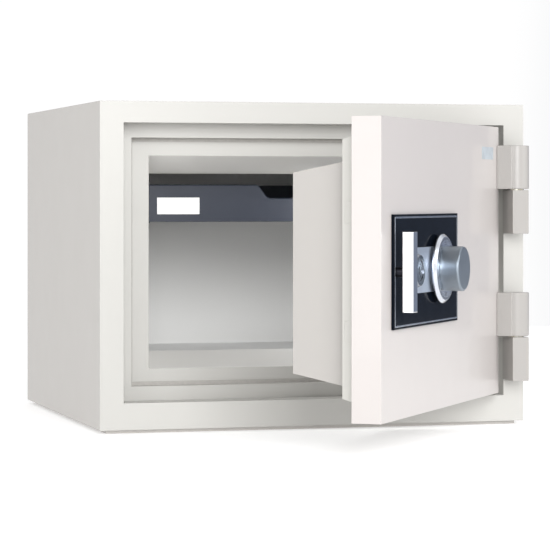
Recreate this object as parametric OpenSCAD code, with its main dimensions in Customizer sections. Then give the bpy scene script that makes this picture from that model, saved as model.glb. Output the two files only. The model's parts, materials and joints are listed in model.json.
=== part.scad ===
// Small fire-resistant safe with an ajar, hinged door, combination dial, key lock,
// bolt handle and a sliding inner tray.
// The origin is the centre of the cabinet's resting face. X runs to the right of
// someone who faces the safe, Y runs into the safe and Z runs up.
// "depth" below is a distance behind the cabinet's front face, and "proud" is a
// distance in front of the closed door's outer face, which lies flush with it.

/* [Cabinet] */
// Width of the cabinet
cab_w = 500; // [420:1:620]
// Depth of the cabinet without the hinges
cab_d = 462; // [420:1:600]
// Height of the cabinet above its base plate
body_h = 366; // [340:1:460]
// Thickness of the shell's sheet steel
shell_t = 2; // [1:0.5:3]
// Thickness of the base plate
base_t = 4; // [2:0.5:10]
// Distance of the base plate's rim from the cabinet's sides
base_inset = 8; // [4:1:20]

/* [Doorway] */
// Width of the frame's face left of the door
face_left = 27; // [24:1:34]
// Width of the frame's face on the hinge side
face_right = 24.5; // [20:0.5:30]
// Height of the frame's face above the door
face_top = 24; // [20:1:34]
// Height of the frame's face below the door
face_bottom = 30; // [24:1:40]
// Room between the closed slab's back and the ledge behind it
slab_clear = 2; // [1.5:0.5:4]
// Width of the ledge behind the slab
ledge_w = 16; // [14:1:18]
// Room between the closed step's back and the second rebate's floor
step_clear = 2; // [1.5:0.5:4]
// Gap between the throat's mouth and the plug's root on the free side
throat_gap_free = 3.9; // [3:0.1:8]
// Gap between the throat's mouth and the plug's root on the hinge side
throat_gap_hinge = 4.5; // [4:0.1:8]
// Gap below the plug's root
throat_gap_low = 2.5; // [1.5:0.1:6]
// Gap above the plug's root
throat_gap_high = 10.5; // [2:0.1:12]
// Depth at which the throat ends and the compartment begins
throat_end = 140; // [130:1:150]
// Narrowing of the throat on each side
throat_taper_side = 19.5; // [16:0.5:20]
// Rise of the throat's floor
throat_taper_bottom = 15; // [10:0.5:16]
// Fall of the throat's ceiling
throat_taper_top = 19.5; // [16:0.5:20]

/* [Compartment] */
// Width of the lip between the throat and the compartment's walls
lip_side = 8; // [4:0.5:12]
// Height of the lip above the compartment's floor
lip_low = 6; // [3:0.5:8]
// Height of the lip below the compartment's ceiling
lip_high = 5.5; // [3:0.5:8]
// Distance of the compartment's back wall from the cabinet's back
room_back = 78; // [60:1:90]
// Thickness of the liner's sheet
liner_t = 1.5; // [1:0.25:2]

/* [Door] */
// Angle by which the door stands open
door_open = 54.5; // [0:0.5:100]
// Gap between the slab and the frame on the free side
gap_free = 3.4; // [3.2:0.1:4]
// Gap between the slab and the frame on the hinge side
gap_hinge = 1.5; // [1.5:0.5:6]
// Gap above the slab
gap_top = 2.5; // [1:0.5:4]
// Gap below the slab
gap_bottom = 4; // [1:0.5:5]
// Thickness of the slab
slab_t = 31; // [24:0.5:40]
// Thickness of the step behind the slab
step_t = 17; // [17:0.5:22]
// Width of the slab's back that shows around the step
step_margin = 18; // [17:0.5:22]
// Narrowing of the step on each side
step_taper = 4.5; // [2:0.5:6]
// Distance from the slab's free edge to the plug at its root
plug_margin = 40; // [38:0.5:44]
// Distance from the slab's hinge edge to the plug at its root
plug_margin_hinge = 45; // [43:0.5:50]
// Distance from the slab's lower edge to the plug at its root
plug_margin_low = 33; // [30:0.5:38]
// Distance from the slab's upper edge to the plug at its root
plug_margin_high = 44; // [38:0.5:48]
// Length of the plug behind the step
plug_t = 64; // [40:1:76]
// Narrowing of the plug on each side
plug_taper = 14.5; // [12:0.5:16]
// Narrowing of the plug at its top and bottom
plug_taper_z = 11.5; // [8:0.5:14]

/* [Hinges] */
// Distance of the hinge axis from the cabinet's right side
axis_side = 16; // [15:0.5:18]
// Distance of the hinge axis in front of the cabinet
axis_front = 18; // [17:0.5:20]
// Radius of the hinge pins
pin_r = 6; // [4:0.5:7]
// Radius of the barrel on each door leaf
barrel_r = 15; // [13:0.5:16]
// Height of each leaf
leaf_h = 50; // [40:1:55]
// Thickness of the thrust washers
washer_t = 1.2; // [0.8:0.1:2]
// Height of the lower hinge above the body's underside
hinge_low = 48.3; // [40:0.5:60]
// Distance of the upper hinge's top below the top of the body
hinge_high = 47.7; // [40:0.5:60]

/* [Lock panel] */
// Distance of the panel from the slab's free edge
panel_x = 33; // [26:0.5:33]
// Width of the panel
panel_w = 230; // [220:1:250]
// Height of the panel
panel_h = 116; // [100:1:130]
// Thickness of the panel
panel_t = 3; // [2:0.5:4]
// Distance of the lock's centre line below the slab's middle
lock_drop = 3.25; // [-20:0.25:20]
// Distance from the slab's free edge to the handle's axis
handle_x = 44.5; // [42:0.5:46]
// Distance from the slab's free edge to the key's axis
key_x = 103.5; // [101:0.5:106]
// Distance from the slab's free edge to the dial's axis
dial_x = 188; // [184:0.5:196]

/* [Handle] */
// Length of the handle
handle_len = 81; // [60:1:84]
// Width of the handle
handle_w = 14.5; // [10:0.5:18]
// Thickness of the handle
handle_t = 11.8; // [10:0.1:18]
// Room between the lock panel and the handle's back
handle_gap = 7.1; // [7.1:0.1:9]
// Radius of the handle's spindle
handle_r = 5; // [4:0.25:5.5]

/* [Dial] */
// Radius of the dial's flange
flange_r = 36.5; // [32:0.5:38]
// Radius of the fixed ring behind the flange
dial_ring_r = 22; // [20:0.5:28]
// Radius of the dial's knob
knob_r = 23.6; // [18:0.1:26]
// Height of the knob in front of the flange
knob_h = 20.3; // [14:0.1:24]
// Radius of the dial's spindle
spindle_r = 4; // [3:0.25:5]
// Radius of the combination wheels
wheel_r = 27; // [22:0.5:30]

/* [Key lock] */
// Radius of the ring around the key lock
key_ring_r = 18.3; // [14:0.1:19]
// Radius of the key lock's housing
key_housing_r = 11; // [10:0.5:12]
// Radius of the turning plug
key_plug_r = 7; // [6:0.25:8]

/* [Bolts] */
// Height of each locking bolt
bolt_h = 22; // [14:1:30]
// Thickness of each locking bolt, front to back
bolt_t = 8; // [5:0.5:8]
// Travel of the locking bolts
bolt_throw = 20; // [16:1:20]
// Distance of each bolt above or below the lock's centre line
bolt_pitch = 60; // [54:1:70]
// Radius of the fixed bars on the hinge side
dead_bar_r = 3.5; // [2.5:0.25:3.5]

/* [Tray] */
// Height of the tray
tray_h = 44; // [30:1:60]
// Depth of the tray's front face
tray_front = 150; // [146:1:170]
// Wall thickness of the tray
tray_t = 2.5; // [2:0.25:4]
// Distance of the tray's top below the compartment's ceiling
tray_drop = 18; // [16:1:30]
// Width of the finger notch at its top
notch_w = 56; // [40:1:90]
// Depth of the finger notch
notch_d = 16; // [10:1:20]

/* [Hidden] */

$fn = 64;
paint = [0.89, 0.88, 0.86];
side_paint = [0.82, 0.80, 0.78];
black_gloss = [0.10, 0.12, 0.16];
chrome = [0.80, 0.82, 0.85];
satin = [0.62, 0.66, 0.71];
zinc = [0.70, 0.70, 0.66];
castable = [0.74, 0.71, 0.66];
tray_blue = [0.24, 0.26, 0.31];
cut = 1; // how far a cutting shape runs past what it cuts
hair = 0.3; // gap between painted or curved faces that nearly touch
run = 0.05; // radial clearance of a shaft in its bearing

// Places of the cabinet's faces
left_x = -cab_w / 2;
right_x = cab_w / 2;
front_y = -cab_d / 2;
back_y = cab_d / 2;
low_z = base_t;
top_z = base_t + body_h;

// Boxes in this file are [x0, x1, z0, z1] sections, seen from the front
cab_box = [left_x, right_x, low_z, top_z];
rebate_box = [left_x + face_left, right_x - face_right, low_z + face_bottom, top_z - face_top];
rebate2_box = shrink(rebate_box, ledge_w, ledge_w);

slab_box = [
    rebate_box[0] + gap_free, rebate_box[1] - gap_hinge,
    rebate_box[2] + gap_bottom, rebate_box[3] - gap_top
];
step_end = slab_t + step_t;
plug_end = step_end + plug_t;
step_box = shrink(slab_box, step_margin, step_margin);
step_back_box = shrink(step_box, step_taper, step_taper);
plug_box = [
    slab_box[0] + plug_margin, slab_box[1] - plug_margin_hinge,
    slab_box[2] + plug_margin_low, slab_box[3] - plug_margin_high
];
plug_tip_box = shrink(plug_box, plug_taper, plug_taper_z);

rebate_depth = slab_t + slab_clear;
rebate2_end = step_end + step_clear;
throat_box = [
    plug_box[0] - throat_gap_free, plug_box[1] + throat_gap_hinge,
    plug_box[2] - throat_gap_low, plug_box[3] + throat_gap_high
];
throat_back_box = [
    throat_box[0] + throat_taper_side, throat_box[1] - throat_taper_side,
    throat_box[2] + throat_taper_bottom, throat_box[3] - throat_taper_top
];
room_box = [
    throat_back_box[0] - lip_side, throat_back_box[1] + lip_side,
    throat_back_box[2] - lip_low, throat_back_box[3] + lip_high
];
room_end = cab_d - room_back;

// Layers of the door, as depths
skin_t = 2;
plate_back_gap = 4.5; // between the mechanism plate and the slab's back
plate_t = 2.5;
board_end = slab_t - plate_back_gap - plate_t; // back of the board behind the front skin
plate_end = board_end + plate_t; // back of the mechanism plate
cavity_end = step_end - skin_t; // back of the lock's cavity
case_wall = 2;
wheel_t = 2.5;
wheel_gap = 0.5;
wheels_start = plate_end + case_wall + wheel_gap;
cam_start = wheels_start + 3 * (wheel_t + wheel_gap);
cam_t = 3.5;
cover_start = cam_start + cam_t + 1;
cover_t = 1.5;
case_half = [wheel_r + 6, wheel_r + 12]; // half width and half height of the lock case
post_r = spindle_r + 1.8;
case_screw_r = 1.5;
case_screw_inset = 5;
case_head_r = 3;
case_head_t = 1.2;
gate_w = 6;
gate_d = 6;
plug_screw_r = 2;
plug_screw_inset = 30;
plug_screw_len = 14;
plug_head_r = 4.5;
plug_head_t = 1.5;

// Fence lever
lever_pin_r = 2;
lever_hub_r = 4.5;
lever_t = 4;
lever_gap = 2; // between the lever and the wheels' rims

// Hinge
axis_x = right_x - axis_side;
axis_y = front_y - axis_front;
hinge_z = [low_z + hinge_low, top_z - hinge_high - 2 * leaf_h - washer_t];
body_leaf_w = 19.5;
leaf_proud = axis_front + barrel_r + 1;
leaf_foot = 8; // how far a door leaf reaches onto the slab's face
arm_gap = 3; // between a door leaf's arm and the frame
pin_seat = 10; // solid part of a body leaf below its pin
barrel_cap = 8; // solid part of a door leaf above its pin
bush_t = 2;
bush_r = pin_r + bush_t;

// Lock stations along the slab, from its free edge
lock_z = (slab_box[2] + slab_box[3]) / 2 - lock_drop;
handle_at = [slab_box[0] + handle_x, lock_z];
key_at = [slab_box[0] + key_x, lock_z];
dial_at = [slab_box[0] + dial_x, lock_z];
panel_box = [
    slab_box[0] + panel_x, slab_box[0] + panel_x + panel_w,
    lock_z - panel_h / 2, lock_z + panel_h / 2
];
fence_pivot = [
    dial_at[0] - case_half[0] + case_wall + 10,
    dial_at[1] + wheel_r + lever_gap + lever_t / 2
];
escutcheon_t = 1.2;
escutcheon_h = 47;
trim_w = 1.6;
trim_inset = 2.4;
trim_t = 0.4;
dial_ring_t = 4; // fixed ring between the panel and the dial
flange_t = 4.5;
handle_back = panel_t + handle_gap;
dial_back = panel_t + dial_ring_t + hair;
knob_back = dial_back + flange_t;
flange_rim_t = 1.5; // straight part of the flange's edge
flange_bevel = 3;
knob_bevel = 1.5;
key_ring_t = 5.5;
key_ring_bevel = 2.5;
key_slot_half = [1, 4]; // half width and half height of the keyway
key_slot_depth = 18;
key_cam_w = 8;
key_cam_reach = 20;
key_cam_t = 3;
label_w = 47;
label_h = 14;
label_low = 2.5; // distance of the label's top below the leaf's
label_t = 0.3;
label_gap = 16; // between the label and the upper hinge

// Bolt work
crank_r = bolt_throw / sqrt(2);
crank_pin_r = 2.5;
crank_w = 8;
crank_gap = 0.8; // the pin's path is an arc, so its slot is this much wider
cam_plate_start = plate_end + 1;
cam_plate_t = 4;
carriage_t = 4;
strip_w = 28;
arm_h = 17;
stud_r = 4;
stud_head_r = stud_r + 3;
stud_x = handle_at[0] + 70;
carriage_x = handle_at[0] + crank_r / sqrt(2) - 9; // left edge of the upright strip
arm_end = stud_x + bolt_throw + 12;
bolt_heights = [lock_z - bolt_pitch, lock_z + bolt_pitch];
keeper_gap = 0.6; // room around a thrown bolt
keeper_t = 1.4;
keeper_x = rebate2_box[0] - bolt_throw + 2;
bolt_depth = rebate_depth + shell_t + keeper_t + keeper_gap + bolt_t / 2 + 0.2;
carriage_start = bolt_depth - carriage_t / 2;
dead_bar_reach = 6; // how far the fixed bars reach into the frame
dead_bar_gap = 2.6; // the bars swing out on an arc, which takes this much room
dead_keeper_t = 1.1;
dead_keeper_x = rebate2_box[1] + dead_bar_reach + 4;
dead_bar_depth = rebate_depth + shell_t + dead_keeper_t + dead_bar_gap + dead_bar_r + 0.1;

// Tray
tray_gap = 2; // between the tray and the throat, on each side
tray_box = [
    throat_back_box[0] + tray_gap, throat_back_box[1] - tray_gap,
    room_box[3] - tray_drop - tray_h, room_box[3] - tray_drop
];
tray_end = room_end - 8;
tray_rim = 7; // width of the tray's rolled rim
notch_slope = 12;
notch_r = 4;
notch_flare = 0.6; // how much the notch widens per unit that its outline is moved in
rail_t = 1.5;
rail_lap = 3.5; // how far a rail reaches under the tray
rail_drop = 12; // distance of a rail's upper edge below the tray's
tray_label_w = 51;
tray_label_h = 19.5;
tray_label_left = 11;
tray_label_low = 9;
tray_label_t = 0.4;
seal_w = 4;
seal_t = 2;
back_inset = 2; // distance of the back panel's face from the shell's edge

function shrink(b, dx, dz) = [b[0] + dx, b[1] - dx, b[2] + dz, b[3] - dz];
function mix(a, b, f) = [for (i = [0:3]) a[i] + (b[i] - a[i]) * f];
function plug_at(d) = mix(plug_box, plug_tip_box, (d - step_end) / (plug_end - step_end));
function throat_at(d) =
    mix(throat_box, throat_back_box, (d - rebate2_end) / (throat_end - rebate2_end));

// A straight block with section b between two depths
module block(b, d0, d1) {
    translate([b[0], front_y + d0, b[2]]) cube([b[1] - b[0], d1 - d0, b[3] - b[2]]);
}

// A block whose section changes evenly from a, at depth d0, to b, at depth d1
module taper(a, b, d0, d1) {
    low = min(a[2], b[2]) - cut;
    high = max(a[3], b[3]) + cut;
    left = min(a[0], b[0]) - cut;
    right = max(a[1], b[1]) + cut;
    y0 = front_y + d0;
    y1 = front_y + d1;
    intersection() {
        translate([0, 0, low])
            linear_extrude(high - low)
                polygon([[a[0], y0], [a[1], y0], [b[1], y1], [b[0], y1]]);
        translate([left, 0, 0])
            rotate([90, 0, 90])
                linear_extrude(right - left)
                    polygon([[y0, a[2]], [y0, a[3]], [y1, b[3]], [y1, b[2]]]);
    }
}

// A cylinder along Y at [x, z] between two depths
module rod(at, r, d0, d1) {
    translate([at[0], front_y + d0, at[1]])
        rotate([-90, 0, 0])
            cylinder(r = r, h = d1 - d0);
}

// A cylinder along X between two places at depth d and height z
module bar(x0, x1, d, z, r) {
    translate([x0, front_y + d, z])
        rotate([0, 90, 0])
            cylinder(r = r, h = x1 - x0);
}

// The place of a locking bolt between two places along X, grown by a gap
module bolt_block(x0, x1, z, gap) {
    block([x0, x1, z - bolt_h / 2 - gap, z + bolt_h / 2 + gap],
        bolt_depth - bolt_t / 2 - gap, bolt_depth + bolt_t / 2 + gap);
}

// A bored disc along Y
module washer(at, r, bore_r, d0, d1) {
    difference() {
        rod(at, r, d0, d1);
        rod(at, bore_r, d0 - cut, d1 + cut);
    }
}

// Places the closed door's pieces at the door's opening angle
module on_door() {
    translate([axis_x, axis_y, 0])
        rotate([0, 0, door_open])
            translate([-axis_x, -axis_y, 0])
                children();
}

// ---------------------------------------------------------------- cabinet

module outer_shell() {
    color(side_paint)
        difference() {
            block(cab_box, shell_t, cab_d);
            block(shrink(cab_box, shell_t, shell_t), 0, cab_d + cut);
        }
}

module back_panel() {
    color(side_paint)
        block(shrink(cab_box, shell_t, shell_t), cab_d - shell_t - back_inset, cab_d - back_inset);
}

// Face, rebate, ledge and second rebate, pressed from one sheet
module front_frame() {
    color(paint)
        difference() {
            union() {
                block(cab_box, 0, shell_t);
                block(shrink(rebate_box, -shell_t, -shell_t), 0, rebate_depth + shell_t);
                block(shrink(rebate2_box, -shell_t, -shell_t), rebate_depth, rebate2_end + shell_t);
            }
            block(rebate_box, -cut, rebate_depth);
            block(rebate2_box, 0, rebate2_end);
            block(throat_box, 0, rebate2_end + shell_t + cut);
            for (z = bolt_heights) {
                bolt_block(rebate2_box[0] - shell_t - cut, rebate2_box[0] + cut, z, keeper_gap);
                bar(rebate2_box[1] - cut, rebate2_box[1] + shell_t + cut, dead_bar_depth, z,
                    dead_bar_r + dead_bar_gap);
            }
        }
}

// Tapered lining between the frame and the compartment
module door_throat() {
    start = rebate2_end + shell_t;
    color(paint)
        difference() {
            union() {
                taper(shrink(throat_at(start), -shell_t, -shell_t),
                    shrink(throat_back_box, -shell_t, -shell_t), start, throat_end);
                block(shrink(room_box, -liner_t, -liner_t), throat_end - shell_t, throat_end);
            }
            taper(throat_at(start - cut), throat_at(throat_end + cut), start - cut, throat_end + cut);
        }
}

module inner_liner() {
    color([0.80, 0.80, 0.80])
        difference() {
            block(shrink(room_box, -liner_t, -liner_t), throat_end, room_end + liner_t);
            block(room_box, throat_end - cut, room_end);
        }
}

// Cast fire-resistant filling between the shell and the linings
module cabinet_insulation() {
    start = rebate2_end + shell_t;
    grown_rebate = shrink(rebate_box, -shell_t, -shell_t);
    grown_rebate2 = shrink(rebate2_box, -shell_t, -shell_t);
    color(castable)
        difference() {
            block(shrink(cab_box, shell_t, shell_t), shell_t, cab_d - shell_t - back_inset);
            block(grown_rebate, 0, rebate_depth + shell_t);
            block(grown_rebate2, 0, start);
            taper(shrink(throat_at(start), -shell_t, -shell_t),
                shrink(throat_back_box, -shell_t, -shell_t), start, throat_end);
            block(shrink(room_box, -liner_t, -liner_t), throat_end - shell_t, room_end + liner_t);
            for (z = bolt_heights) {
                bolt_block(keeper_x, grown_rebate2[0] + cut, z, keeper_gap + keeper_t);
                bar(grown_rebate2[1] - cut, dead_keeper_x, dead_bar_depth, z,
                    dead_bar_r + dead_bar_gap + dead_keeper_t);
            }
        }
}

module base_plate() {
    color(side_paint)
        translate([left_x + base_inset, front_y + base_inset, 0])
            cube([cab_w - 2 * base_inset, cab_d - 2 * base_inset, base_t]);
}

// Angle that carries one side of the tray, on the compartment's left wall
module tray_rail() {
    ledge_x = tray_box[0] + rail_lap;
    color(tray_blue) {
        block([room_box[0], room_box[0] + rail_t, tray_box[2] - rail_t, tray_box[3] - rail_drop],
            tray_front + 4, room_end);
        block([room_box[0] + rail_t, ledge_x, tray_box[2] - rail_t, tray_box[2]],
            tray_front + 4, room_end);
    }
}

module tray_rail_left() {
    tray_rail();
}

module tray_rail_right() {
    mirror([1, 0, 0]) tray_rail();
}

// Strip that swells in a fire, in the corner of the second rebate
module door_seal() {
    color([0.72, 0.70, 0.67])
        difference() {
            block(rebate2_box, rebate2_end - seal_t, rebate2_end);
            block(shrink(rebate2_box, seal_w, seal_w), rebate2_end - seal_t - cut, rebate2_end + cut);
        }
}

// Cups behind the frame that take the thrown bolts
module bolt_keepers() {
    inner_x = rebate2_box[0] - shell_t;
    color(zinc)
        for (z = bolt_heights)
            difference() {
                bolt_block(keeper_x, inner_x, z, keeper_gap + keeper_t);
                bolt_block(keeper_x + keeper_t, inner_x + cut, z, keeper_gap);
            }
}

// Cups behind the frame for the fixed bars on the hinge side
module dead_bar_keepers() {
    inner_x = rebate2_box[1] + shell_t;
    color(zinc)
        for (z = bolt_heights)
            difference() {
                bar(inner_x, dead_keeper_x, dead_bar_depth, z, dead_bar_r + dead_bar_gap + dead_keeper_t);
                bar(inner_x - cut, dead_keeper_x - dead_keeper_t, dead_bar_depth, z,
                    dead_bar_r + dead_bar_gap);
            }
}

// Lower half of a hinge, welded to the frame, with a blind bore for the pin
module body_leaf(z) {
    color(paint)
        difference() {
            translate([axis_x - body_leaf_w / 2, front_y - leaf_proud, z])
                cube([body_leaf_w, leaf_proud, leaf_h]);
            translate([axis_x, axis_y, z + pin_seat])
                cylinder(r = pin_r, h = leaf_h);
        }
}

module upper_hinge_body_leaf() {
    body_leaf(hinge_z[1]);
}

module lower_hinge_body_leaf() {
    body_leaf(hinge_z[0]);
}

module hinge_pins() {
    color(zinc)
        for (z = hinge_z)
            translate([axis_x, axis_y, z + pin_seat])
                cylinder(r = pin_r, h = 2 * leaf_h + washer_t - pin_seat - barrel_cap - 2);
}

module hinge_washers() {
    color(zinc)
        for (z = hinge_z)
            translate([axis_x, axis_y, z + leaf_h])
                difference() {
                    cylinder(r = bush_r + 1, h = washer_t);
                    translate([0, 0, -cut]) cylinder(r = pin_r + run, h = washer_t + 2 * cut);
                }
}

// ------------------------------------------------------------------- door

// Front skin with edges folded back to the slab's full thickness
module door_panel() {
    color(paint)
        on_door()
            difference() {
                block(slab_box, 0, slab_t);
                block(shrink(slab_box, skin_t, skin_t), skin_t, slab_t + cut);
                spindle_holes(-cut, skin_t + cut);
            }
}

// Openings for the handle's spindle, the key lock and the dial's spindle
module spindle_holes(d0, d1) {
    rod(handle_at, handle_r + run, d0, d1);
    rod(key_at, key_housing_r, d0, d1);
    rod(dial_at, spindle_r + 1, d0, d1);
}

// Closes the slab's back and forms the step that carries the bolts
module door_step_frame() {
    color(paint)
        on_door()
            difference() {
                union() {
                    block(shrink(slab_box, skin_t, skin_t), slab_t - skin_t, slab_t);
                    taper(step_box, step_back_box, slab_t, step_end);
                }
                taper(shrink(step_box, skin_t, skin_t), shrink(step_back_box, skin_t, skin_t),
                    slab_t, cavity_end);
                block(shrink(step_box, skin_t, skin_t), slab_t - skin_t - cut, slab_t);
                block(plug_at(step_end), cavity_end - cut, step_end + cut);
                for (z = bolt_heights) {
                    bolt_block(slab_box[0], step_back_box[0] + 2 * skin_t, z, 0.1);
                    bar(step_back_box[1] - 2 * skin_t, slab_box[1], dead_bar_depth, z, dead_bar_r);
                }
            }
}

// Deep pan that fills the throat when the door is shut
module door_plug_cover() {
    color(paint)
        on_door()
            difference() {
                union() {
                    taper(plug_at(step_end), plug_tip_box, step_end, plug_end);
                    block(plug_at(step_end), cavity_end, step_end);
                }
                taper(shrink(plug_at(step_end), skin_t, skin_t),
                    shrink(plug_tip_box, skin_t, skin_t), step_end, plug_end - skin_t);
                block(shrink(plug_at(step_end), skin_t, skin_t), cavity_end - cut, step_end);
                for (at = plug_screw_places())
                    rod(at, plug_screw_r, plug_end - skin_t - cut, plug_end + cut);
            }
}

function plug_screw_places() =
    let (
        b = shrink(plug_tip_box, plug_screw_inset, plug_screw_inset)
    ) [for (x = [b[0], (b[0] + b[1]) / 2, b[1]]) for (z = [b[2], b[3]]) [x, z]];

module door_insulation() {
    color(castable)
        on_door()
            difference() {
                block(shrink(slab_box, skin_t, skin_t), skin_t, board_end);
                spindle_holes(0, board_end + cut);
            }
}

module plug_insulation() {
    color(castable)
        on_door()
            difference() {
                union() {
                    taper(shrink(plug_at(step_end), skin_t, skin_t),
                        shrink(plug_tip_box, skin_t, skin_t), step_end, plug_end - skin_t);
                    block(shrink(plug_at(step_end), skin_t, skin_t), cavity_end + 1, step_end);
                }
                for (at = plug_screw_places())
                    rod(at, plug_screw_r, plug_end - plug_screw_len - 2, plug_end);
            }
}

// Steel plate that carries the lock and guards it against drilling
module mechanism_plate() {
    color(zinc)
        on_door()
            difference() {
                block(shrink(slab_box, skin_t, skin_t), board_end, plate_end);
                spindle_holes(board_end - cut, plate_end + cut);
            }
}

// Upper half of a hinge: a foot on the slab's face, an arm and a bored barrel
module door_leaf(z) {
    z0 = z + leaf_h + washer_t;
    arm_x = slab_box[1] - leaf_foot;
    color(paint)
        on_door()
            difference() {
                union() {
                    translate([axis_x, axis_y, z0]) cylinder(r = barrel_r, h = leaf_h);
                    translate([arm_x, axis_y, z0])
                        cube([axis_x - arm_x, axis_front - arm_gap, leaf_h]);
                    translate([arm_x, axis_y, z0]) cube([leaf_foot, axis_front, leaf_h]);
                }
                translate([axis_x, axis_y, z0 - cut])
                    cylinder(r = bush_r, h = leaf_h - barrel_cap + cut);
            }
}

module upper_hinge_door_leaf() {
    door_leaf(hinge_z[1]);
}

module lower_hinge_door_leaf() {
    door_leaf(hinge_z[0]);
}

module hinge_bushes() {
    color([0.72, 0.60, 0.32])
        on_door()
            for (z = hinge_z)
                translate([axis_x, axis_y, z + leaf_h + washer_t])
                    difference() {
                        cylinder(r = bush_r, h = leaf_h - barrel_cap - 1);
                        translate([0, 0, -cut]) cylinder(r = pin_r + run, h = leaf_h);
                    }
}

module lock_panel() {
    color(black_gloss)
        on_door()
            difference() {
                block(panel_box, -panel_t, 0);
                rod(handle_at, handle_r + run, -panel_t - cut, cut);
                rod(key_at, key_housing_r, -panel_t - cut, cut);
                rod(dial_at, spindle_r + 1, -panel_t - cut, cut);
            }
}

module panel_trim() {
    color(chrome)
        on_door()
            difference() {
                block(shrink(panel_box, trim_inset, trim_inset), -panel_t - trim_t, -panel_t);
                block(shrink(panel_box, trim_inset + trim_w, trim_inset + trim_w),
                    -panel_t - cut, -panel_t + cut);
            }
}

// Satin plate around the key lock, up to the dial
module escutcheon() {
    b = [
        key_at[0] - escutcheon_h / 2, dial_at[0] - flange_r / 2,
        lock_z - escutcheon_h / 2, lock_z + escutcheon_h / 2
    ];
    color(satin)
        on_door()
            difference() {
                block(b, -panel_t - escutcheon_t, -panel_t);
                rod(key_at, key_housing_r, -panel_t - 2 * cut, 0);
                rod(dial_at, dial_ring_r, -panel_t - 2 * cut, 0);
            }
}

// Fixed ring that the dial turns in front of
module dial_ring() {
    color(chrome)
        on_door()
            washer(dial_at, dial_ring_r, spindle_r + 1, -panel_t - dial_ring_t, -panel_t);
}

module key_ring() {
    start = -panel_t - escutcheon_t;
    color(chrome)
        on_door()
            difference() {
                translate([key_at[0], front_y + start, key_at[1]])
                    rotate([90, 0, 0])
                        cylinder(r1 = key_ring_r, r2 = key_ring_r - key_ring_bevel, h = key_ring_t);
                rod(key_at, key_housing_r, start - key_ring_t - cut, cut);
            }
}

module key_housing() {
    color(chrome)
        on_door()
            washer(key_at, key_housing_r, key_plug_r + run,
                -panel_t - escutcheon_t - key_ring_t + 1, plate_end + 6);
}

// Open-backed case around the combination wheels, with the fence lever's pin
module lock_case() {
    b = centred(dial_at, case_half);
    color(zinc)
        on_door() {
            difference() {
                block(b, plate_end, cover_start);
                block(shrink(b, case_wall, case_wall), plate_end + case_wall, cover_start + cut);
                rod(dial_at, spindle_r + 1, plate_end - cut, plate_end + 2 * case_wall);
            }
            rod(fence_pivot, lever_pin_r, plate_end + case_wall, cover_start);
        }
}

function centred(at, half) = [at[0] - half[0], at[0] + half[0], at[1] - half[1], at[1] + half[1]];

module lock_cover() {
    color(zinc)
        on_door()
            difference() {
                block(centred(dial_at, case_half), cover_start, cover_start + cover_t);
                rod(dial_at, spindle_r + 1, cover_start - cut, cover_start + cover_t + cut);
                for (at = case_screw_places())
                    rod(at, case_screw_r, cover_start - cut, cover_start + cover_t + cut);
            }
}

function case_screw_places() =
    let (
        b = shrink(centred(dial_at, case_half), case_screw_inset, case_screw_inset)
    ) [for (x = [b[0], b[1]]) for (z = [b[2], b[3]]) [x, z]];

// Hollow post that the wheels turn on and the spindle passes through
module wheel_post() {
    color([0.72, 0.60, 0.32])
        on_door()
            washer(dial_at, post_r, spindle_r + run, plate_end + case_wall, cam_start - wheel_gap);
}

// Screws through the lock's cover, with standing pillars in the case's corners
module lock_screws() {
    color(zinc)
        on_door()
            for (at = case_screw_places()) {
                rod(at, case_screw_r, plate_end + case_wall, cover_start + cover_t);
                rod(at, case_head_r, cover_start + cover_t, cover_start + cover_t + case_head_t);
            }
}

// Headed studs that guide the bolt carriage
module guide_studs() {
    color(zinc)
        on_door()
            for (z = bolt_heights) {
                rod([stud_x, z], stud_r, plate_end, carriage_start + carriage_t + hair);
                rod([stud_x, z], stud_head_r, carriage_start + carriage_t + hair,
                    carriage_start + carriage_t + 2);
            }
}

// Fixed bars on the hinge side, welded into the step frame
module dead_bars() {
    color(zinc)
        on_door()
            for (z = bolt_heights)
                bar(step_back_box[1] - 12, rebate2_box[1] + dead_bar_reach, dead_bar_depth, z, dead_bar_r);
}

module plug_screws() {
    color(zinc)
        on_door()
            for (at = plug_screw_places()) {
                rod(at, plug_screw_r, plug_end - plug_screw_len, plug_end);
                rod(at, plug_head_r, plug_end, plug_end + plug_head_t);
            }
}

// Blank certificate label beside the upper hinge
module door_label() {
    right = slab_box[1] - leaf_foot - label_gap;
    high = top_z - hinge_high - label_low;
    color([0.86, 0.90, 0.95])
        on_door()
            block([
                right - label_w, right,
                high - label_h, high
            ], -label_t, 0);
}

// ----------------------------------------------------------------- handle

module handle_bar() {
    color(chrome)
        on_door()
            block(centred(handle_at, [handle_w / 2, handle_len / 2]),
                -handle_back - handle_t, -handle_back);
}

module handle_spindle() {
    color(black_gloss)
        on_door()
            rod(handle_at, handle_r, -handle_back, cam_plate_start);
}

// Crank behind the mechanism plate, with the pin that drives the carriage
module handle_cam() {
    pin_at = [handle_at[0] + crank_r / sqrt(2), handle_at[1] + crank_r / sqrt(2)];
    color(zinc)
        on_door() {
            rod(handle_at, handle_r + 3, cam_plate_start, cam_plate_start + cam_plate_t);
            rod(pin_at, crank_pin_r + 3, cam_plate_start, cam_plate_start + cam_plate_t);
            translate([handle_at[0], front_y + cam_plate_start + 0.5, handle_at[1]])
                rotate([0, -45, 0])
                    translate([0, 0, -crank_w / 2]) cube([crank_r, cam_plate_t - 1, crank_w]);
            rod(pin_at, crank_pin_r, cam_plate_start, carriage_start + carriage_t + 1);
        }
}

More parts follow.
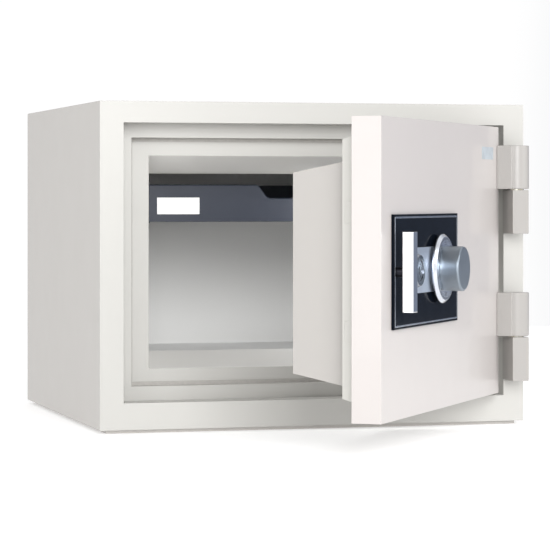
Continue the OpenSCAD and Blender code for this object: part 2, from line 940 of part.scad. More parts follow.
// Upright strip with two slotted arms; the strip carries the bolts
module bolt_carriage() {
    d0 = carriage_start;
    d1 = d0 + carriage_t;
    slot_x = handle_at[0] + crank_r / sqrt(2);
    slot_half = crank_pin_r + crank_gap;
    slot_low = handle_at[1] + crank_r / sqrt(2) - slot_half;
    slot_high = handle_at[1] + crank_r + slot_half;
    color(zinc)
        on_door()
            difference() {
                union() {
                    block([carriage_x, carriage_x + strip_w, bolt_heights[0] - arm_h / 2,
                        bolt_heights[1] + arm_h / 2], d0, d1);
                    for (z = bolt_heights)
                        block([carriage_x, arm_end, z - arm_h / 2, z + arm_h / 2], d0, d1);
                }
                block([slot_x - slot_half, slot_x + slot_half, slot_low, slot_high], d0 - cut, d1 + cut);
                for (z = bolt_heights)
                    hull_slot([stud_x, z], bolt_throw, stud_r + 0.2, d0 - cut, d1 + cut);
            }
}

// Round-ended slot that runs from a stud's place toward the hinge side by a travel
module hull_slot(at, travel, r, d0, d1) {
    rod(at, r, d0, d1);
    rod([at[0] + travel, at[1]], r, d0, d1);
    block([at[0], at[0] + travel, at[1] - r, at[1] + r], d0, d1);
}

// Flat bolts, cut flush with the step's side while they are drawn back
module locking_bolts() {
    color(paint)
        on_door()
            intersection() {
                union()
                    for (z = bolt_heights)
                        bolt_block(slab_box[0], carriage_x, z, 0);
                taper(step_box, step_back_box, slab_t, step_end);
            }
}

// ------------------------------------------------------------------- dial

// Graduated disc with a bevelled rim
module dial_flange() {
    start = front_y - dial_back;
    color(chrome)
        on_door()
            difference() {
                translate([dial_at[0], start, dial_at[1]])
                    rotate([90, 0, 0]) {
                        cylinder(r = flange_r, h = flange_rim_t);
                        translate([0, 0, flange_rim_t])
                            cylinder(r1 = flange_r, r2 = flange_r - flange_bevel,
                                h = flange_t - flange_rim_t);
                    }
                rod(dial_at, spindle_r, -knob_back - cut, cut);
            }
}

module dial_knob() {
    color(satin)
        on_door()
            translate([dial_at[0], front_y - knob_back, dial_at[1]])
                rotate([90, 0, 0]) {
                    cylinder(r = knob_r, h = knob_h - knob_bevel);
                    translate([0, 0, knob_h - knob_bevel])
                        cylinder(r1 = knob_r, r2 = knob_r - knob_bevel, h = knob_bevel);
                }
}

module dial_spindle() {
    color(zinc)
        on_door()
            rod(dial_at, spindle_r, -knob_back, cam_start + cam_t);
}

// Drive cam at the spindle's end, with its gate turned away from the lever
module drive_cam() {
    color([0.72, 0.60, 0.32])
        on_door()
            difference() {
                rod(dial_at, wheel_r - 2, cam_start, cam_start + cam_t);
                rod(dial_at, spindle_r, cam_start - cut, cam_start + cam_t + cut);
                gate(cam_start, cam_start + cam_t, wheel_r - 2, 0);
            }
}

// Notch in a wheel's rim, turned by an angle from the top
module gate(d0, d1, r, angle) {
    translate([dial_at[0], 0, dial_at[1]])
        rotate([0, angle, 0])
            translate([-gate_w / 2, front_y + d0 - cut, r - gate_d])
                cube([gate_w, d1 - d0 + 2 * cut, gate_d + cut]);
}

// Combination wheel number n, counted from the drive cam
module combination_wheel(n) {
    d0 = cam_start - n * (wheel_t + wheel_gap);
    d1 = d0 + wheel_t;
    color([0.72, 0.60, 0.32])
        on_door()
            difference() {
                rod(dial_at, wheel_r, d0, d1);
                rod(dial_at, post_r + run, d0 - cut, d1 + cut);
                gate(d0, d1, wheel_r, 0);
            }
}

module combination_wheel_1() {
    combination_wheel(1);
}

module combination_wheel_2() {
    combination_wheel(2);
}

module combination_wheel_3() {
    combination_wheel(3);
}

// Lever with a fence that drops into the wheels' gates
module fence_lever() {
    pivot = fence_pivot;
    low = dial_at[1] + wheel_r + lever_gap;
    color(zinc)
        on_door()
            difference() {
                union() {
                    rod(pivot, lever_hub_r, wheels_start, cam_start + cam_t);
                    block([pivot[0], dial_at[0] + gate_w / 2, low, low + lever_t],
                        wheels_start, cam_start + cam_t);
                }
                rod(pivot, lever_pin_r + run, wheels_start - cut, cam_start + cam_t + cut);
            }
}

// ---------------------------------------------------------------- key lock

module key_plug() {
    start = -panel_t - escutcheon_t - key_ring_t + 1.5;
    color(chrome)
        on_door()
            difference() {
                rod(key_at, key_plug_r, start, plate_end + 7);
                block(centred(key_at, key_slot_half), start - cut, start + key_slot_depth);
            }
}

// Blade at the key plug's end that swings in front of the carriage
module key_cam() {
    d0 = plate_end + 7;
    color(zinc)
        on_door() {
            rod(key_at, key_plug_r, d0, d0 + key_cam_t);
            block([
                key_at[0] - key_cam_w / 2, key_at[0] + key_cam_w / 2,
                key_at[1] - key_cam_reach, key_at[1]
            ], d0, d0 + key_cam_t);
        }
}

// ------------------------------------------------------------------- tray

// Front outline of the tray, with its rim lowered by inset
function notch_outline(inset) =
    let (
        mid = (tray_box[0] + tray_box[1]) / 2,
        top = tray_box[3] - inset,
        low = tray_box[3] - notch_d - inset,
        half = notch_w / 2 + inset * notch_flare,
        side = inset > 0 ? inset : 0
    ) [
        [tray_box[0] + side, tray_box[2] - (inset > 0 ? cut : 0)],
        [tray_box[1] - side, tray_box[2] - (inset > 0 ? cut : 0)],
        [tray_box[1] - side, top],
        each fillet([mid + half, top], [1, 0], [-notch_slope, -notch_d]),
        each fillet([mid + half - notch_slope, low], [notch_slope, notch_d], [-1, 0]),
        each fillet([mid - half + notch_slope, low], [1, 0], [-notch_slope, notch_d]),
        each fillet([mid - half, top], [notch_slope, -notch_d], [-1, 0]),
        [tray_box[0] + side, top]
    ];

// Points that round a corner between the directions back along a and on along b
function fillet(corner, a, b) =
    let (
        p = corner + a / norm(a) * notch_r,
        q = corner + b / norm(b) * notch_r
    ) [for (t = [0:0.2:1]) p * (1 - t) * (1 - t) + corner * 2 * t * (1 - t) + q * t * t];

module front_outline(inset, d0, d1) {
    translate([0, front_y + d1, 0])
        rotate([90, 0, 0])
            linear_extrude(d1 - d0)
                polygon(notch_outline(inset));
}

// Open tray: a notched front with a rolled rim, two sides, a back and a floor
module tray() {
    inner = [tray_box[0] + tray_t, tray_box[1] - tray_t, tray_box[2] + tray_t, tray_box[3] + cut];
    color(tray_blue) {
        difference() {
            front_outline(0, tray_front, tray_front + tray_rim);
            front_outline(tray_t, tray_front + tray_t, tray_front + tray_rim + cut);
        }
        difference() {
            block(tray_box, tray_front + tray_t, tray_end);
            block(inner, tray_front, tray_end - tray_t);
        }
    }
}

module tray_label() {
    left = tray_box[0] + tray_label_left;
    low = tray_box[2] + tray_label_low;
    color("white")
        block([left, left + tray_label_w, low, low + tray_label_h],
            tray_front - tray_label_t, tray_front);
}

outer_shell();
back_panel();
front_frame();
door_throat();
inner_liner();
cabinet_insulation();
base_plate();
tray_rail_left();
tray_rail_right();
door_seal();
bolt_keepers();
dead_bar_keepers();
upper_hinge_body_leaf();
lower_hinge_body_leaf();
hinge_pins();
hinge_washers();
door_panel();
door_step_frame();
door_plug_cover();
door_insulation();
plug_insulation();
mechanism_plate();
upper_hinge_door_leaf();
lower_hinge_door_leaf();
hinge_bushes();
lock_panel();
panel_trim();
escutcheon();
dial_ring();
key_ring();
key_housing();
lock_case();
lock_cover();
wheel_post();
lock_screws();
guide_studs();
dead_bars();
plug_screws();
door_label();
handle_bar();
handle_spindle();
handle_cam();
bolt_carriage();
locking_bolts();
dial_flange();
dial_knob();
dial_spindle();
drive_cam();
combination_wheel_1();
combination_wheel_2();
combination_wheel_3();
fence_lever();
key_plug();
key_cam();
tray();
tray_label();
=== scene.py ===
"""Looks of the small fire-resistant safe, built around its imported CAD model."""

import json
import math

import bmesh
import bpy
from mathutils import Matrix, Vector

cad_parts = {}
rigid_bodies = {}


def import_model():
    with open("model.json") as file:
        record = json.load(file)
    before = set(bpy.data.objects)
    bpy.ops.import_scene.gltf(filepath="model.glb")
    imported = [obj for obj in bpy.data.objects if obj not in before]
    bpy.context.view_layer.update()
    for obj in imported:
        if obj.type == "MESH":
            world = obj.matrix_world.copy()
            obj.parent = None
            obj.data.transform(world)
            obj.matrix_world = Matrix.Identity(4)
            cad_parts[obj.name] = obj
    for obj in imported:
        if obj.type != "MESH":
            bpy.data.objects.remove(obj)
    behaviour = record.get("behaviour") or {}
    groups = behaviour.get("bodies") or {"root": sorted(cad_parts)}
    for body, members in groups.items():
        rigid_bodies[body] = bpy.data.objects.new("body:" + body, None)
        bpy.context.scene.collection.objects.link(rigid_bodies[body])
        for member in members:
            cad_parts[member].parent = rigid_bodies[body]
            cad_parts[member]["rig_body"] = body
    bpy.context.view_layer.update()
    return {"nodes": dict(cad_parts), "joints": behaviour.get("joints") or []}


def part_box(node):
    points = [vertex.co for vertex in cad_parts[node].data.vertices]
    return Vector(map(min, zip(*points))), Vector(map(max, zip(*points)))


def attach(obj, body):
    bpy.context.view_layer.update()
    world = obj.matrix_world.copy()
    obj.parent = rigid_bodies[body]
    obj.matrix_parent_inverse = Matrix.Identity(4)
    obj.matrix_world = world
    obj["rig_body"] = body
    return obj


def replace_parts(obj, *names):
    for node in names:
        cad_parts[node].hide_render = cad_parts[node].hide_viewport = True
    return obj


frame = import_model()

MM = 0.001
NODES = frame["nodes"]
JOINTS = {j["name"]: j for j in frame["joints"]}
OUT = Vector(JOINTS["dial_turn"]["axis"]).normalized()  # out of the door's face
UP = Vector((0, 0, 1))
ALONG = UP.cross(OUT)  # along the door's face, from its free edge to its hinges

SHARP_ANGLE = 38  # degrees at which smooth shading breaks
ROUNDED_ANGLE = 35  # degrees between two faces from which their edge is rounded
TOUCH = 1e-5  # metres within which a point counts as lying on a face
STRAIGHT = 0.9  # share of an edge's direction along an axis that makes it run that way
WELD = 2e-6  # metres within which a CAD mesh's corners are one
FLAT_ANGLE = 0.5  # degrees within which neighbouring faces are one

scene = bpy.context.scene
scene.view_settings.view_transform = "Standard"


# ------------------------------------------------------------------ materials

class Shader:
    """A Principled material with short calls for the nodes in front of it."""

    def __init__(self, name, colour, rough, metal=0.0, **sockets):
        self.material = bpy.data.materials.new(name)
        self.material.use_nodes = True
        self.tree = self.material.node_tree
        self.bsdf = self.tree.nodes["Principled BSDF"]
        self.colour = (*colour, 1)
        self.rough = rough
        self.set("Base Color", self.colour)
        self.set("Roughness", rough)
        self.set("Metallic", metal)
        for socket, value in sockets.items():
            self.set(socket.replace("_", " "), value)
        self.place = self.node("ShaderNodeTexCoord").outputs["Object"]

    def set(self, socket, value):
        self.bsdf.inputs[socket].default_value = value

    def node(self, kind, **values):
        made = self.tree.nodes.new(kind)
        for key, value in values.items():
            if hasattr(made, key):
                setattr(made, key, value)
            else:
                made.inputs[key.replace("_", " ")].default_value = value
        return made

    def link(self, source, target):
        self.tree.links.new(source, target)

    def stretched(self, scale, turn=0.0):
        """Object coordinates turned about Z and scaled, in cells per metre."""
        mapping = self.node("ShaderNodeMapping", vector_type="TEXTURE")
        mapping.inputs["Rotation"].default_value = (0, 0, turn)
        mapping.inputs["Scale"].default_value = [1 / s for s in scale]
        self.link(self.place, mapping.inputs["Vector"])
        return mapping.outputs["Vector"]

    def noise(self, scale, detail=2.0, vector=None):
        made = self.node("ShaderNodeTexNoise", Scale=scale, Detail=detail)
        self.link(vector or self.place, made.inputs["Vector"])
        return made.outputs["Fac"]

    def spread(self, source, low, high):
        """Maps the middle of a noise's range to low ... high."""
        made = self.node("ShaderNodeMapRange")
        for key, value in zip(("From Min", "From Max", "To Min", "To Max"), (0.3, 0.7, low, high)):
            made.inputs[key].default_value = value
        self.link(source, made.inputs["Value"])
        return made.outputs["Result"]

    def vary_colour(self, source, change, tint=None):
        """Lets the base colour swing by a share, or towards a tint."""
        other = tint or [min(1.0, c * (1 + change)) for c in self.colour[:3]]
        base = self.colour if tint else (*[c * (1 - change) for c in self.colour[:3]], 1)
        mix = self.node("ShaderNodeMix", data_type="RGBA")
        mix.inputs["A"].default_value = base
        mix.inputs["B"].default_value = (*other, 1)
        self.link(source, mix.inputs["Factor"])
        self.link(mix.outputs["Result"], self.bsdf.inputs["Base Color"])

    def vary_rough(self, source, change):
        self.link(self.spread(source, self.rough - change, self.rough + change),
                  self.bsdf.inputs["Roughness"])

    def bump(self, source, depth):
        """Adds a bump of a depth in metres to those already there."""
        made = self.node("ShaderNodeBump", Strength=1.0, Distance=depth)
        previous = self.bsdf.inputs["Normal"].links
        if previous:
            self.link(previous[0].from_socket, made.inputs["Normal"])
        self.link(source, made.inputs["Height"])
        self.link(made.outputs["Normal"], self.bsdf.inputs["Normal"])


def paint(name, colour, rough=0.4, peel=0.006, coat=0.1, coat_rough=0.2):
    """Baked enamel with orange peel, faint clouding and a light clear coat."""
    s = Shader(name, colour, rough, Coat_Weight=coat, Coat_Roughness=coat_rough)
    s.vary_colour(s.spread(s.noise(6, 3), 0, 1), 0.008)
    s.vary_rough(s.noise(30, 2), 0.015)
    s.bump(s.noise(500, 2), peel * MM)
    return s.material


def polished(name, colour, rough=0.06):
    """Chrome plate with faint smears and hairline marks."""
    s = Shader(name, colour, rough, 1.0)
    s.vary_rough(s.noise(60, 4), 0.03)
    s.bump(s.noise(300, 2), 0.006 * MM)
    s.vary_colour(s.spread(s.noise(25, 2), 0, 1), 0.015)
    return s.material


def brushed(name, colour, rough, lines):
    """Metal with straight grain, given in cells per metre along the door, out of it and up."""
    s = Shader(name, colour, rough, 1.0)
    turn = math.atan2(ALONG.y, ALONG.x)
    grain = s.noise(1, 4, s.stretched(lines, turn))
    s.vary_rough(grain, 0.08)
    s.bump(grain, 0.01 * MM)
    s.vary_colour(s.spread(s.noise(30, 3), 0, 1), 0.03)
    return s.material


def turned(name, colour, rough, at, rings=2600, depth=0.012):
    """Metal turned on a lathe: fine rings about the axis out of the door through a point."""
    s = Shader(name, colour, rough, 1.0)
    offset = s.node("ShaderNodeVectorMath", operation="SUBTRACT")
    s.link(s.place, offset.inputs[0])
    offset.inputs[1].default_value = at
    along = s.node("ShaderNodeVectorMath", operation="DOT_PRODUCT")
    s.link(offset.outputs["Vector"], along.inputs[0])
    along.inputs[1].default_value = OUT
    length = s.node("ShaderNodeVectorMath", operation="LENGTH")
    s.link(offset.outputs["Vector"], length.inputs[0])
    square = s.node("ShaderNodeMath", operation="MULTIPLY")
    s.link(length.outputs["Value"], square.inputs[0])
    s.link(length.outputs["Value"], square.inputs[1])
    drop = s.node("ShaderNodeMath", operation="MULTIPLY")
    s.link(along.outputs["Value"], drop.inputs[0])
    s.link(along.outputs["Value"], drop.inputs[1])
    rest = s.node("ShaderNodeMath", operation="SUBTRACT")
    s.link(square.outputs[0], rest.inputs[0])
    s.link(drop.outputs[0], rest.inputs[1])
    radius = s.node("ShaderNodeMath", operation="SQRT")
    s.link(rest.outputs[0], radius.inputs[0])
    pair = s.node("ShaderNodeCombineXYZ")
    s.link(radius.outputs[0], pair.inputs["X"])
    s.link(along.outputs["Value"], pair.inputs["Y"])
    ring = s.noise(rings, 3, pair.outputs["Vector"])
    s.vary_rough(ring, 0.07)
    s.bump(ring, depth * MM)
    s.vary_colour(s.spread(s.noise(40, 2), 0, 1), 0.03)
    return s.material


def zinc(name, colour=(0.58, 0.57, 0.52), rough=0.38, tint=(0.62, 0.58, 0.42)):
    """Plated steel with a mottled film, faintly yellow unless the tint says otherwise."""
    s = Shader(name, colour, rough, 1.0)
    s.vary_colour(s.spread(s.noise(55, 5), 0, 1), 0.1, tint)
    s.vary_rough(s.noise(140, 4), 0.1)
    s.bump(s.noise(900, 3), 0.02 * MM)
    return s.material


def castable(name, colour):
    """Cast mineral filling: sandy, with small pores."""
    s = Shader(name, colour, 0.92)
    s.vary_colour(s.spread(s.noise(120, 6), 0, 1), 0.12)
    s.bump(s.noise(500, 6), 0.5 * MM)
    pores = s.node("ShaderNodeTexVoronoi", Scale=260.0)
    s.link(s.place, pores.inputs["Vector"])
    s.bump(pores.outputs["Distance"], 0.3 * MM)
    return s.material


def moulded(name, colour):
    """Moulded plastic with a fine leathery grain."""
    s = Shader(name, colour, 0.42, Specular_IOR_Level=0.45)
    s.vary_colour(s.spread(s.noise(20, 3), 0, 1), 0.08)
    s.vary_rough(s.noise(300, 3), 0.08)
    grain = s.node("ShaderNodeTexVoronoi", Scale=1500.0)
    s.link(s.place, grain.inputs["Vector"])
    s.bump(grain.outputs["Distance"], 0.03 * MM)
    return s.material


def lacquer(name, colour):
    """Deep gloss black of the lock panel."""
    s = Shader(name, colour, 0.1, Specular_IOR_Level=0.03)
    s.vary_colour(s.spread(s.noise(30, 2), 0, 1), 0.2)
    s.vary_rough(s.noise(70, 3), 0.02)
    s.bump(s.noise(150, 2), 0.003 * MM)
    return s.material


def paper(name, colour, rough=0.6, mottle=0.02):
    """Printed film or card with a slight tooth."""
    s = Shader(name, colour, rough)
    s.vary_colour(s.spread(s.noise(90, 4), 0, 1), mottle)
    s.bump(s.noise(2200, 3), 0.02 * MM)
    return s.material


def strip_rubber(name, colour):
    """Dull strip that swells in a fire."""
    s = Shader(name, colour, 0.75)
    s.vary_colour(s.spread(s.noise(200, 4), 0, 1), 0.06)
    s.bump(s.noise(1200, 3), 0.03 * MM)
    return s.material


DIAL_AT = Vector(JOINTS["dial_turn"]["pos_m"])
KEY_AT = Vector(JOINTS["key_turn"]["pos_m"])

# The safe's one enamel comes in copies whose brightness and tint are set for the light on each
# surface, so these colours hold painted light and shade: the step frame is lighter as painted
# light, the plug's cover and the hinges are darker as painted shade, and the front, sides and door
# differ a little in tint.
FACE = paint("paint_face", (0.49, 0.483, 0.46))
SIDE = paint("paint_side", (0.49, 0.47, 0.447), 0.45)
DOOR = paint("paint_door", (0.51, 0.478, 0.464), 0.34, 0.003, 0.24, 0.05)
PLUG_SHADED = paint("paint_plug_shaded", (0.415, 0.397, 0.378))
STEP_LIT = paint("paint_step_lit", (0.53, 0.52, 0.49))
HINGE_SHADED = paint("paint_hinge_shaded", (0.36, 0.345, 0.33), 0.34, 0.004, 0.2, 0.15)
THROAT = paint("paint_throat", (0.78, 0.77, 0.745))
LINER = paint("paint_liner", (0.78, 0.78, 0.77))
CHROME = polished("chrome", (0.86, 0.87, 0.89))
CHROME_KEY = turned("chrome_turned", (0.28, 0.305, 0.35), 0.16, KEY_AT, 900, 0.02)
TRIM = polished("silver_line", (0.55, 0.58, 0.63), 0.2)
SATIN = brushed("satin_plate", (0.50, 0.56, 0.66), 0.45, (60, 60, 2600))
FLANGE = turned("dial_face", (0.68, 0.71, 0.77), 0.24, DIAL_AT)
KNOB = turned("knob_satin", (0.27, 0.31, 0.355), 0.38, DIAL_AT)
BRASS = turned("brass", (0.72, 0.55, 0.24), 0.28, DIAL_AT)
ZINC = zinc("zinc_plate")
STEEL = zinc("bare_steel", (0.55, 0.55, 0.55), 0.3)
BLACK_STEEL = zinc("black_steel", (0.03, 0.03, 0.035), 0.35, (0.04, 0.04, 0.05))
FILLING = castable("cast_filling", (0.60, 0.56, 0.50))
BLACK = lacquer("black_gloss", (0.003, 0.0045, 0.008))
TRAY = moulded("tray_plastic", (0.025, 0.031, 0.048))
RAIL = paint("paint_rail", (0.06, 0.07, 0.09), 0.45)
SEAL = strip_rubber("seal", (0.42, 0.405, 0.385))
CARD = paper("card", (0.93, 0.93, 0.94))
STICKER = paper("sticker", (0.385, 0.43, 0.47), 0.35, 0.12)
INK = paper("dial_ink", (0.02, 0.022, 0.03), 0.5)

MATERIALS = {
    "outer_shell": SIDE, "back_panel": SIDE, "base_plate": SIDE, "front_frame": FACE,
    "door_throat": THROAT, "inner_liner": LINER, "cabinet_insulation": FILLING,
    "tray_rail_left": RAIL, "tray_rail_right": RAIL, "door_seal": SEAL,
    "bolt_keepers": ZINC, "dead_bar_keepers": ZINC,
    "upper_hinge_body_leaf": HINGE_SHADED, "lower_hinge_body_leaf": HINGE_SHADED,
    "hinge_pins": STEEL, "hinge_washers": STEEL, "hinge_bushes": BRASS,
    "upper_hinge_door_leaf": HINGE_SHADED, "lower_hinge_door_leaf": HINGE_SHADED,
    "door_panel": DOOR, "door_step_frame": STEP_LIT, "door_plug_cover": PLUG_SHADED,
    "door_insulation": FILLING, "plug_insulation": FILLING, "mechanism_plate": ZINC,
    "lock_panel": BLACK, "panel_trim": TRIM, "escutcheon": SATIN, "dial_ring": CHROME,
    "key_ring": CHROME_KEY, "key_housing": CHROME_KEY, "key_plug": CHROME_KEY, "key_cam": STEEL,
    "lock_case": ZINC, "lock_cover": ZINC, "lock_screws": STEEL, "wheel_post": BRASS,
    "guide_studs": STEEL, "dead_bars": STEEL, "plug_screws": STEEL, "door_label": STICKER,
    "handle_bar": CHROME, "handle_spindle": BLACK_STEEL, "handle_cam": ZINC,
    "bolt_carriage": ZINC, "locking_bolts": STEP_LIT,
    "dial_flange": FLANGE, "dial_knob": KNOB, "dial_spindle": STEEL, "drive_cam": BRASS,
    "combination_wheel_1": BRASS, "combination_wheel_2": BRASS, "combination_wheel_3": BRASS,
    "fence_lever": STEEL, "tray": TRAY, "tray_label": CARD,
}


# --------------------------------------------------------------------- pieces

def dress(obj, material):
    obj.data.materials.clear()
    obj.data.materials.append(material)


def smooth(obj):
    """Smooth shading with flat faces kept flat."""
    for polygon in obj.data.polygons:
        polygon.use_smooth = True
    obj.data.set_sharp_from_angle(angle=math.radians(SHARP_ANGLE))
    weighted = obj.modifiers.new("normals", "WEIGHTED_NORMAL")
    weighted.keep_sharp = True
    weighted.weight = 100


def new_piece(name, bm, material, body):
    mesh = bpy.data.meshes.new(name)
    bm.to_mesh(mesh)
    bm.free()
    obj = bpy.data.objects.new(name, mesh)
    scene.collection.objects.link(obj)
    dress(obj, material)
    smooth(obj)
    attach(obj, body)
    return obj


def round_edges(bm, radius, segments, choose=None):
    """Rounds the chosen edges whose faces meet at a clear angle."""
    edges = [
        e for e in bm.edges
        if len(e.link_faces) == 2 and e.calc_face_angle(0) > math.radians(ROUNDED_ANGLE)
        and (choose is None or choose(e))
    ]
    bmesh.ops.bevel(bm, geom=edges, offset=radius * MM, offset_type="OFFSET", segments=segments,
                    profile=0.5, affect="EDGES", clamp_overlap=True)


def refine(node, *passes):
    """Stands a copy of a CAD node's mesh with rounded edges in for the node.

    Each pass is a radius in millimetres, a number of segments and at will a chooser of edges.
    """
    source = NODES[node]
    bm = bmesh.new()
    bm.from_mesh(source.data)
    bmesh.ops.remove_doubles(bm, verts=bm.verts, dist=WELD)
    bmesh.ops.dissolve_limit(bm, angle_limit=math.radians(FLAT_ANGLE),
                             verts=bm.verts, edges=bm.edges)
    for radius, segments, *choose in passes:
        round_edges(bm, radius, segments, *choose)
    piece = new_piece(f"{node}.fine", bm, MATERIALS[node], source["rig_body"])
    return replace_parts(piece, node)


def middle(edge):
    return (edge.verts[0].co + edge.verts[1].co) / 2


def direction(edge):
    return (edge.verts[1].co - edge.verts[0].co).normalized()


# The shell and the frame in front of it are one sheet to the eye, so their common edge stays
# sharp, and the rounding of the long edges runs through both.
SHELL_LOW, SHELL_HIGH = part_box("outer_shell")
FRONT_LOW, FRONT_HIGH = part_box("front_frame")


def shell_edge(edge):
    """The shell's long outer corners and its rear outline."""
    at = middle(edge)
    outside = min(at.x - SHELL_LOW.x, SHELL_HIGH.x - at.x, at.z - SHELL_LOW.z, SHELL_HIGH.z - at.z)
    corner = abs(direction(edge).y) > STRAIGHT and outside < TOUCH
    rear = at.y > SHELL_HIGH.y - TOUCH
    return corner or rear


def frame_edge(edge):
    """All but the seam with the shell."""
    at = middle(edge)
    outside = min(at.x - FRONT_LOW.x, FRONT_HIGH.x - at.x, at.z - FRONT_LOW.z, FRONT_HIGH.z - at.z)
    if outside < TOUCH:
        return at.y < FRONT_LOW.y + TOUCH or abs(direction(edge).y) > STRAIGHT
    return True


TRAY_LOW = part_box("tray")[0]
TRAY_FOOT = TRAY_LOW.z + 10 * MM  # below this the front's outline stays nearly sharp


def tray_rim(edge):
    """The front's outline above its foot, where the sheet is rolled."""
    return all(v.co.y < TRAY_LOW.y + TOUCH for v in edge.verts) and middle(edge).z > TRAY_FOOT


def rounded_pieces():
    refine("outer_shell", (1.6, 3, shell_edge))
    refine("front_frame", (1.6, 3, frame_edge))
    refine("tray", (2.2, 4, tray_rim), (0.5, 2))
    for node, radius, segments in (
        ("base_plate", 0.8, 2), ("door_throat", 0.9, 2), ("inner_liner", 0.6, 2),
        ("upper_hinge_body_leaf", 1.2, 3), ("lower_hinge_body_leaf", 1.2, 3),
        ("upper_hinge_door_leaf", 1.2, 3), ("lower_hinge_door_leaf", 1.2, 3),
        ("door_panel", 1.5, 3), ("door_step_frame", 0.8, 2), ("door_plug_cover", 1.4, 3),
        ("lock_panel", 0.5, 2), ("panel_trim", 0.12, 1), ("escutcheon", 0.3, 2),
        ("handle_bar", 0.8, 3), ("dial_flange", 0.25, 2), ("dial_knob", 0.5, 2),
        ("dial_ring", 0.3, 2), ("key_ring", 0.3, 2), ("key_housing", 0.3, 2), ("key_plug", 0.2, 2),
        ("tray_rail_left", 0.3, 1), ("tray_rail_right", 0.3, 1),
        ("plug_screws", 0.4, 2), ("locking_bolts", 0.1, 1), ("dead_bars", 0.5, 2),
        ("tray_label", 0.1, 1), ("door_label", 0.08, 1),
    ):
        refine(node, (radius, segments))


def reach(node, way):
    """Lowest and highest place of a node along a direction."""
    along = [v.co.dot(way) for v in NODES[node].data.vertices]
    return min(along), max(along)


def dial_frame():
    """Frame with its origin on the dial's axis at the flange's face and Z out of the door."""
    face = reach("dial_flange", OUT)[1]
    origin = DIAL_AT + OUT * (face - DIAL_AT.dot(OUT))
    turn = Matrix((ALONG, UP, ALONG.cross(UP))).transposed()
    return Matrix.Translation(origin) @ turn.to_4x4()


DIVISIONS = 100
MARK_OUTER = 32.4  # mm from the dial's axis to the outer ends of the graduations
MARK_THICK = 0.12  # mm
INK_RISE = 0.03  # mm from the flange's face to the middle of the ink's thickness
NUMBER_AT = 26.4  # mm from the dial's axis to the middle of a number
NUMBER_SIZE = 4.6  # mm
NUMBER_EXTRUDE = 0.05  # mm


def spin(n):
    """Turn of a division about the dial's axis."""
    return Matrix.Rotation(-math.tau * n / DIVISIONS, 4, "Z")


def dial_marks():
    """A hundred graduations, longer at each fifth and tenth, on the flange's face."""
    place = dial_frame()
    bm = bmesh.new()
    for n in range(DIVISIONS):
        length = 3.6 if n % 10 == 0 else 2.8 if n % 5 == 0 else 1.9
        width = 0.42 if n % 5 == 0 else 0.26
        bar = bmesh.ops.create_cube(bm, size=1)["verts"]
        shape = Matrix.Diagonal((width * MM, length * MM, MARK_THICK * MM, 1))
        shift = Matrix.Translation((0, (MARK_OUTER - length / 2) * MM, INK_RISE * MM))
        bmesh.ops.transform(bm, matrix=place @ spin(n) @ shift @ shape, verts=bar)
    new_piece("dial_graduations", bm, INK, "dial")


def dial_numbers():
    """Plain numbers at the tens."""
    place = dial_frame()
    for n in range(0, DIVISIONS, 10):
        text = bpy.data.curves.new(f"number_{n}", "FONT")
        text.body = str(n)
        text.size = NUMBER_SIZE * MM
        text.align_x = "CENTER"
        text.align_y = "CENTER"
        text.extrude = NUMBER_EXTRUDE * MM
        text.resolution_u = 3
        obj = bpy.data.objects.new(f"dial_number_{n}", text)
        scene.collection.objects.link(obj)
        shift = Matrix.Translation((0, NUMBER_AT * MM, INK_RISE * MM))
        obj.matrix_world = place @ spin(n) @ shift
        text.materials.append(INK)
        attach(obj, "dial")


# ---------------------------------------------------------------------- stage

WORLD_STRENGTH = 1.02
FLOOR_RADIUS = 2.2  # metres
FLOOR_GLOW = 0.34  # keeps the floor as pale as the background
CAMERA_AT = (-0.82205, -3.03188, 0.26119)
CAMERA_YAW = -15.88  # degrees
CAMERA_LENS = 168.53  # mm on a sensor 36 mm wide
CAMERA_SHIFT = (-0.0366, -0.1387)
SOFTBOXES = (  # name, place, aim, size in metres, power in watts
    ("key", (-0.3, -3.3, 1.08), (0, -0.1, 0.15), (1.6, 1.7), 79),
    ("card_left", (-2.1, -1.95, 0.25), (0, -0.5, 0.2), (0.6, 0.9), 4.5),
    ("fill_right", (2.2, -1.7, 1.1), (0.1, -0.3, 0.2), (1.2, 1.4), 17),
)


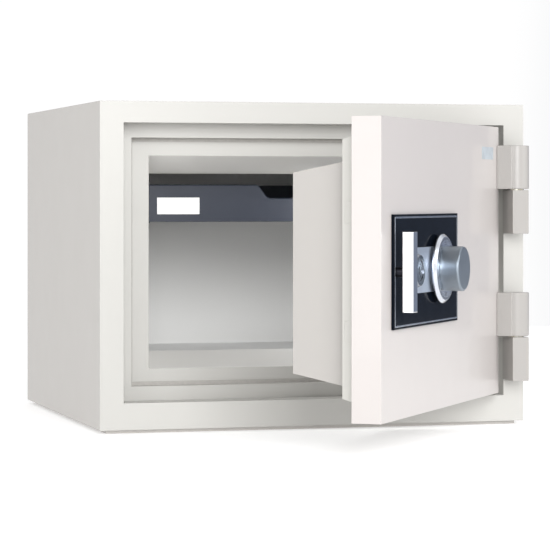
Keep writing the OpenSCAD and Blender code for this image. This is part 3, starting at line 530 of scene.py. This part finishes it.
def world():
    """Even white studio, dimmer high in front, with a blue-grey corner behind and right."""
    made = bpy.data.worlds.new("studio")
    scene.world = made
    made.use_nodes = True
    tree = made.node_tree
    where = tree.nodes.new("ShaderNodeTexCoord").outputs["Generated"]

    def shade(way, stops):
        """Colours that change with the angle to a direction."""
        dot = tree.nodes.new("ShaderNodeVectorMath")
        dot.operation = "DOT_PRODUCT"
        dot.inputs[1].default_value = Vector(way).normalized() / 2
        tree.links.new(where, dot.inputs[0])
        shift = tree.nodes.new("ShaderNodeMath")
        shift.inputs[1].default_value = 0.5
        tree.links.new(dot.outputs["Value"], shift.inputs[0])
        ramp = tree.nodes.new("ShaderNodeValToRGB")
        for element, (place, colour) in zip(ramp.color_ramp.elements, stops):
            element.position = (place + 1) / 2
            element.color = (*colour, 1)
        tree.links.new(shift.outputs[0], ramp.inputs["Fac"])
        return ramp.outputs["Color"]

    front = shade((0, -0.5, 0.866), ((0.6, (1, 1, 1)), (0.85, (0.3, 0.3, 0.3))))
    corner = shade((0.84, 0.54, 0), ((0.80, (1, 1, 1)), (0.93, (0.2, 0.23, 0.3))))
    both = tree.nodes.new("ShaderNodeVectorMath")
    both.operation = "MULTIPLY"
    tree.links.new(front, both.inputs[0])
    tree.links.new(corner, both.inputs[1])
    back = tree.nodes["Background"]
    tree.links.new(both.outputs["Vector"], back.inputs["Color"])
    back.inputs["Strength"].default_value = WORLD_STRENGTH


def softbox(name, at, aim, size, power):
    data = bpy.data.lights.new(name, "AREA")
    data.shape = "RECTANGLE"
    data.size, data.size_y = size
    data.energy = power
    obj = bpy.data.objects.new(name, data)
    scene.collection.objects.link(obj)
    obj.location = at
    obj.rotation_euler = (Vector(aim) - Vector(at)).to_track_quat("-Z", "Y").to_euler()


def compartment_fill():
    """Small lamp behind the open door, for the light that a real studio bounces inside."""
    low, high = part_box("door_throat")
    at = Vector((high.x - 0.08, low.y + 0.01, high.z - 0.046))
    aim = at + Vector((-0.06, 0.1, -0.2))
    softbox("compartment_fill", at, aim, (0.08, 0.05), 0.27)


def floor():
    s = Shader("floor_pale", (0.88, 0.88, 0.88), 0.8, Emission_Strength=FLOOR_GLOW,
               Emission_Color=(1, 1, 1, 1))
    s.vary_colour(s.spread(s.noise(3, 2), 0, 1), 0.004)
    bm = bmesh.new()
    bmesh.ops.create_circle(bm, cap_ends=True, radius=FLOOR_RADIUS, segments=96)
    mesh = bpy.data.meshes.new("floor")
    bm.to_mesh(mesh)
    bm.free()
    obj = bpy.data.objects.new("floor", mesh)
    scene.collection.objects.link(obj)
    dress(obj, s.material)


def camera():
    data = bpy.data.cameras.new("camera")
    data.sensor_width = 36
    data.lens = CAMERA_LENS
    data.shift_x, data.shift_y = CAMERA_SHIFT
    obj = bpy.data.objects.new("camera", data)
    scene.collection.objects.link(obj)
    obj.location = CAMERA_AT
    obj.rotation_euler = (math.radians(90), 0, math.radians(CAMERA_YAW))
    scene.camera = obj


camera()
world()
floor()
for box in SOFTBOXES:
    softbox(*box)
compartment_fill()
for node, obj in NODES.items():
    dress(obj, MATERIALS[node])
rounded_pieces()
dial_marks()
dial_numbers()
